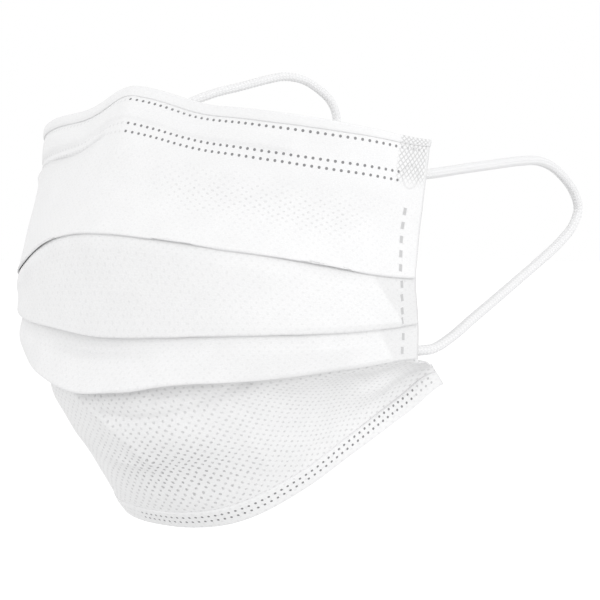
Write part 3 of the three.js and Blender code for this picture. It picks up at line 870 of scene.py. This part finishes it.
def make_dashes():
    """Pressed dashes that lie on the sheet, each a small grid with its rim turned down."""
    shares, depths = [], []
    for right in (False, True):
        for name, ends, down in DASHES:
            share = np.linspace(*ends, len(down))
            share = 1 - share if right else share
            shares += share.tolist()
            depths += (np.interp(share, U, ARC[:, SPOTS[PANELS[name][0]]]) + np.array(down)).tolist()
    across = np.array([-1.35, -1.3, -1, -0.33, 0.33, 1, 1.3, 1.35]) * DASH_HALF[0]
    down = np.array([-1.15, -1.12, -1, -0.5, 0, 0.5, 1, 1.12, 1.15]) * DASH_HALF[1]
    step_across, step_down = (grid.ravel() for grid in np.meshgrid(across, down, indexing="ij"))
    n, m = len(across), len(down)
    i, j = (grid.ravel() for grid in np.meshgrid(np.arange(n), np.arange(m), indexing="ij"))
    ring = np.minimum(np.minimum(i, n - 1 - i), np.minimum(j, m - 1 - j))
    lift = SHEET / 2 + np.array([-0.12, 0.04, 0.02, 0.02, 0.02])[ring]
    number = np.arange(n * m).reshape(n, m)
    cells = np.stack([number[:-1, :-1], number[:-1, 1:], number[1:, 1:], number[1:, :-1]], -1).reshape(-1, 4)
    verts, faces, picks = [], [], []
    for share, depth in zip(shares, depths):
        place, out = on_sheet([share] * 4, depth + np.array([0, 0, -0.8, 0.8]))
        side, _ = on_sheet([share - NUDGE, share + NUDGE], [depth, depth])
        way = unit(place[3] - place[2])
        square = unit(np.cross(out[0], way))
        stretch = (side[1] - side[0]) / (2 * NUDGE)
        turn = step_across / (stretch @ square)
        point, normal = on_sheet(share + turn, depth + step_down - turn * (stretch @ way))
        faces.append(cells + len(verts) * n * m)
        picks.append((ring[cells].min(1) >= 2).astype(int))
        verts.append(point + normal * lift[:, None])
    verts = np.concatenate(verts)
    places = np.stack([verts[:, 0], verts[:, 2], 0 * verts[:, 0]], 1)
    faces, picks = np.concatenate(faces), np.concatenate(picks)
    return mesh_object("side_weld_dashes", verts, faces, [CLOTH, FUSED_PALE],
                       {"cloth": places}, picks)


side_dashes = make_dashes()


# Elastic cords
def spline(route):
    """Points every quarter millimetre on a centripetal Catmull-Rom curve through the route."""
    p = [np.array(q, float) for q in route]
    p = [2 * p[0] - p[1]] + p + [2 * p[-1] - p[-2]]
    made = []
    for p0, p1, p2, p3 in zip(p, p[1:], p[2:], p[3:]):
        t0 = 0.0
        t1 = t0 + np.linalg.norm(p1 - p0) ** 0.5
        t2 = t1 + np.linalg.norm(p2 - p1) ** 0.5
        t3 = t2 + np.linalg.norm(p3 - p2) ** 0.5
        for t in np.linspace(t1, t2, 40, endpoint=False):
            a1 = (t1 - t) / (t1 - t0) * p0 + (t - t0) / (t1 - t0) * p1
            a2 = (t2 - t) / (t2 - t1) * p1 + (t - t1) / (t2 - t1) * p2
            a3 = (t3 - t) / (t3 - t2) * p2 + (t - t2) / (t3 - t2) * p3
            b1 = (t2 - t) / (t2 - t0) * a1 + (t - t0) / (t2 - t0) * a2
            b2 = (t3 - t) / (t3 - t1) * a2 + (t - t1) / (t3 - t1) * a3
            made.append((t2 - t) / (t2 - t1) * b1 + (t - t1) / (t2 - t1) * b2)
    made.append(p[-2])
    made = np.array(made)
    length = np.concatenate([[0], np.cumsum(np.linalg.norm(np.diff(made, axis=0), axis=1))])
    s = np.linspace(0, length[-1], int(length[-1] / 0.25) + 1)
    return np.stack([np.interp(s, length, made[:, k]) for k in range(3)], 1), s


WALES = 9
STITCH = 1.15  # length of one knitted loop


def knit_cord(name, route, node):
    path, s = spline(route)
    tangent = unit(np.gradient(path, axis=0))
    side = unit(np.cross(tangent[0], (0, 0, 1)))
    frames = []
    for t in tangent:
        side = unit(side - t * (side @ t))
        frames.append((side, np.cross(t, side)))
    sides = WALES * 4
    theta = np.arange(sides) / sides * math.tau
    wale = (theta * WALES / math.tau) % 1
    lean = np.abs(wale - 0.5) * 2
    verts, stitch, places = [], [], []
    for k, (a, b) in enumerate(frames):
        loop = 0.5 + 0.5 * np.cos(math.tau * (s[k] / STITCH + 0.55 * lean))
        crown = loop * (0.35 + 0.65 * np.sin(math.pi * wale) ** 0.7)
        radius = CORD_DIAMETER / 2 - 0.13 + 0.2 * crown
        ring = path[k] + radius[:, None] * (np.cos(theta)[:, None] * a + np.sin(theta)[:, None] * b)
        verts.append(ring)
        stitch.append(crown)
        places.append(np.stack([theta * CORD_DIAMETER / 2, np.full(sides, s[k]), 0 * theta], 1))
    count = len(path)
    verts = np.concatenate(verts)
    number = np.arange(count * sides).reshape(count, sides)
    right = np.roll(number, -1, 1)
    faces = np.stack([number[:-1], right[:-1], right[1:], number[1:]], -1).reshape(-1, 4).tolist()
    verts = np.concatenate([verts, path[:1], path[-1:]])
    first, last = count * sides, count * sides + 1
    faces += [(first, int(r), int(q)) for q, r in zip(number[0], right[0])]
    faces += [(last, int(q), int(r)) for q, r in zip(number[-1], right[-1])]
    stitch = np.concatenate([*stitch, [0.5, 0.5]])
    places = np.concatenate([*places, np.zeros((2, 3))])
    made = mesh_object(name, verts, faces, [ELASTIC], {"cloth": places, "stitch": stitch})
    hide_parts(node)
    return made, path * MM


left_loop, left_path = knit_cord("left_ear_cord", LEFT_CORD, "ear_loop_left")
right_loop, right_path = knit_cord("right_ear_cord", RIGHT_CORD, "ear_loop_right")


# The wire in its channel, and the cords' ends pressed flat
WIRE_WALL = 0.45  # thickness of the strip
WIRE_SINK = 0.25  # from the air under the sheet to the middle of the strip


def make_wire():
    lift = -(SHEET / 2 + LAY + WIRE_SINK)
    half = WIRE_WIDTH / 2 - 0.1
    depths = WIRE_DROP + half * np.linspace(-1, 1, 9)
    crown = 0.12 * (1 - np.linspace(-1, 1, 9) ** 2)
    grid = strip(list(depths), list(lift + crown))
    grid = grid[np.abs(U - 0.5) * LENGTHS["upper_edge"] <= WIRE_LENGTH / 2]
    place = np.zeros(grid.shape[:2])
    cloth = (place + np.arange(len(grid))[:, None], place + depths)
    verts, faces, places = wall(grid, normals_of(grid), WIRE_WALL, cloth)
    made = mesh_object("wire_strip", verts, faces, [JACKET], {"cloth": places})
    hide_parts("nose_wire")


FOOT_RADIUS = (1.5, 2.3)  # where the foot begins to taper, and where it ends


def pressed_end(name, node):
    """A cord's end, flattened to a pad with the knit still in it and the round dent of the weld. A round foot
    of fused cloth joins it to the sheet."""
    points = np.array([v.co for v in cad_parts[node].data.vertices]) / MM
    middle = (points.max(0) + points.min(0)) / 2
    axes = np.linalg.svd(points - points.mean(0), full_matrices=False)[2]
    half = np.abs((points - middle) @ axes.T).max(0) - 0.08
    if np.linalg.det(axes) < 0:
        axes[2] = -axes[2]
    steps, sides = 60, 56
    a = np.sin(np.linspace(-1, 1, steps) * math.pi / 2)[:, None]
    theta = (np.arange(sides) / sides * math.tau)[None, :]
    width = half[1] * (1 - np.abs(a) ** 3.6) ** (1 / 3.6)
    thick = half[2] * (1 - np.abs(a) ** 5) ** (1 / 5)
    offsets = GRID.reshape(-1, 3) - middle
    near = offsets[np.argmin(np.linalg.norm(offsets, axis=1))]
    if near @ axes[2] < 0:
        axes = np.array([axes[0], -axes[1], -axes[2]])
    reach = abs(near @ axes[2]) - SHEET / 2 - (LAY + PLY if "upper" in name else 0) - LAY
    x = a * half[0] + 0 * theta
    y = width * np.sign(np.cos(theta)) * np.abs(np.cos(theta)) ** 0.8
    z = thick * np.sign(np.sin(theta)) * np.abs(np.sin(theta)) ** 0.6
    radius = np.hypot(x, y)
    z = z * (0.62 + 0.38 * smooth(1.3, 2.1, radius))
    stitch = 0.5 + 0.5 * np.cos(math.tau * (x / STITCH + 0.5 * np.abs((y * 1.1) % 1 - 0.5)))
    z = z * (0.93 + 0.07 * stitch)
    foot = 1 - smooth(*FOOT_RADIUS, radius)
    z = np.where(z > 0, z * (1 + foot * max(0.0, reach / half[2] - 1)), z)
    verts = middle + x[..., None] * axes[0] + y[..., None] * axes[1] + z[..., None] * axes[2]
    number = np.arange(steps * sides).reshape(steps, sides)
    after = np.roll(number, -1, 1)
    faces = np.stack([number[:-1], number[1:], after[1:], after[:-1]], -1).reshape(-1, 4).tolist()
    faces += [tuple(map(int, number[0])), tuple(map(int, number[-1][::-1]))]
    places = np.stack([x, y, 0 * x], -1).reshape(-1, 3)
    surface = {"cloth": places, "stitch": stitch.ravel()}
    made = mesh_object(name, verts.reshape(-1, 3), faces, [ELASTIC], surface)
    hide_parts(node)


make_wire()
for end in ("upper_left", "lower_left", "upper_right", "lower_right"):
    pressed_end("cord_end_" + end, "weld_tab_" + end)


# Stage
FLOOR_HEIGHT = -0.75  # metres, as below
FLOOR_SIZE = 80.0


def floor_material():
    """Pale ground, a little deeper in tone under the object than far from it."""
    t = Tree("floor", 0.9, 0.1)
    place = t.nodes.new("ShaderNodeTexCoord").outputs["Object"]
    x, y, _ = t.axes(place)
    reach = t.math("SQRT", t.math("ADD", t.math("MULTIPLY", x, x), t.math("MULTIPLY", y, y)))
    share = t.math("MULTIPLY_ADD", reach, 0.5, -1.25, clamp=True)
    near = t.mix(t.noise(place, 3.0, 3), (0.84, 0.84, 0.84), (0.86, 0.86, 0.86))
    t.links.new(t.mix(share, near, (0.97, 0.97, 0.97)), t.shader.inputs["Base Color"])
    return t.material


def make_stage():
    mesh = bpy.data.meshes.new("floor")
    size = FLOOR_SIZE / 2
    corners = [(-size, -size, 0), (size, -size, 0), (size, size, 0), (-size, size, 0)]
    mesh.from_pydata(corners, [], [(0, 1, 2, 3)])
    mesh.materials.append(floor_material())
    floor = bpy.data.objects.new("floor", mesh)
    bpy.context.scene.collection.objects.link(floor)
    floor.location.z = FLOOR_HEIGHT
    world = bpy.data.worlds.new("studio")
    world.use_nodes = True
    world.node_tree.nodes["Background"].inputs[0].default_value = (1, 1, 1, 1)
    world.node_tree.nodes["Background"].inputs[1].default_value = 1.0
    bpy.context.scene.world = world


def sun(name, direction, strength, angle):
    data = bpy.data.lights.new(name, "SUN")
    data.energy = strength
    data.angle = math.radians(angle)
    obj = bpy.data.objects.new(name, data)
    bpy.context.scene.collection.objects.link(obj)
    obj.rotation_euler = Vector(direction).to_track_quat("Z", "Y").to_euler()


make_stage()
sun("key", (0.8, -0.5, 0.42), 0.8, 30)
sun("side", (0.95, 0.25, 0.05), 0.8, 45)
sun("fill", (-0.75, -0.6, 0.1), 0.78, 60)
bpy.context.scene.view_settings.view_transform = "Standard"
bpy.context.scene.view_settings.look = "None"
